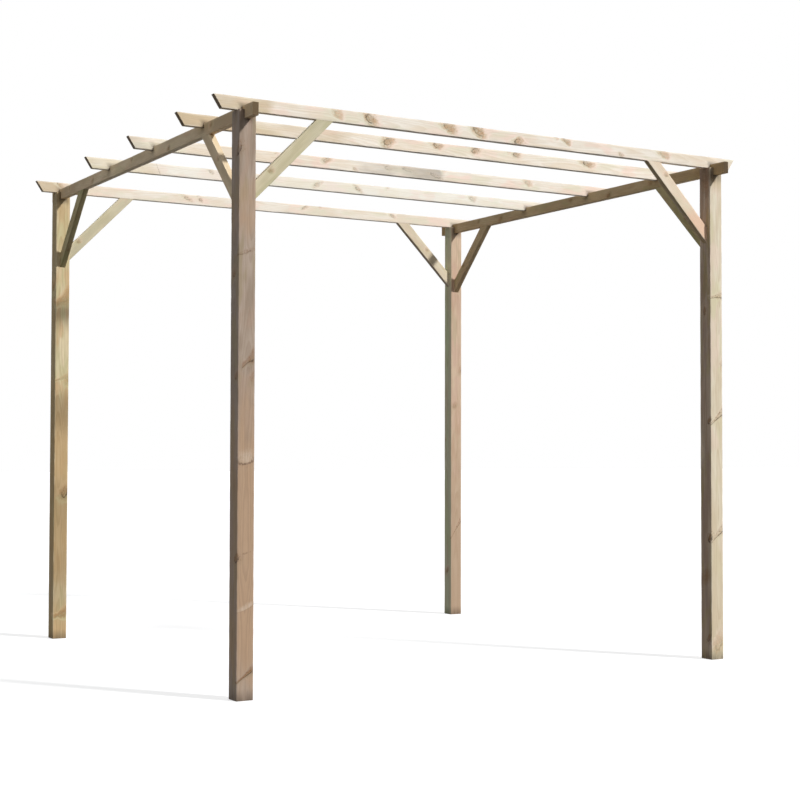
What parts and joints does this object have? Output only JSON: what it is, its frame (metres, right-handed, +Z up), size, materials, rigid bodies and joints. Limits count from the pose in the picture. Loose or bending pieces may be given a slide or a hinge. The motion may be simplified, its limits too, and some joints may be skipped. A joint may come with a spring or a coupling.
{
  "type": "wooden pergola",
  "caption": "Flat-topped wooden garden pergola: square posts carry side beams in slotted tops, rafters with raked ends lie across them, and short braces stiffen the corners.",
  "frame": {"origin": "on the ground at the middle of the four posts", "axes": "+Z up, +X to the right along the rafters, +Y to the back along the side beams"},
  "size_m": [2.796, 2.59, 2.455],
  "materials": {
    "post_wood": "sawn, treated, satin-matt",
    "beam_wood": "sawn, treated, matt",
    "rafter_wood": "planed, treated, satin-matt",
    "brace_wood": "planed, treated, matt"
  },
  "bodies": {
    "root": {"post_front_left": "post_wood", "post_front_right": "post_wood", "post_back_left": "post_wood", "post_back_right": "post_wood", "beam_left": "beam_wood", "beam_right": "beam_wood", "rafter_1": "rafter_wood", "rafter_2": "rafter_wood", "rafter_3": "rafter_wood", "rafter_4": "rafter_wood", "rafter_5": "rafter_wood", "brace_front_left_x": "brace_wood", "brace_front_right_x": "brace_wood", "brace_back_left_x": "brace_wood", "brace_back_right_x": "brace_wood", "brace_front_left_y": "brace_wood", "brace_front_right_y": "brace_wood", "brace_back_left_y": "brace_wood", "brace_back_right_y": "brace_wood"}
  },
  "joints": []
}
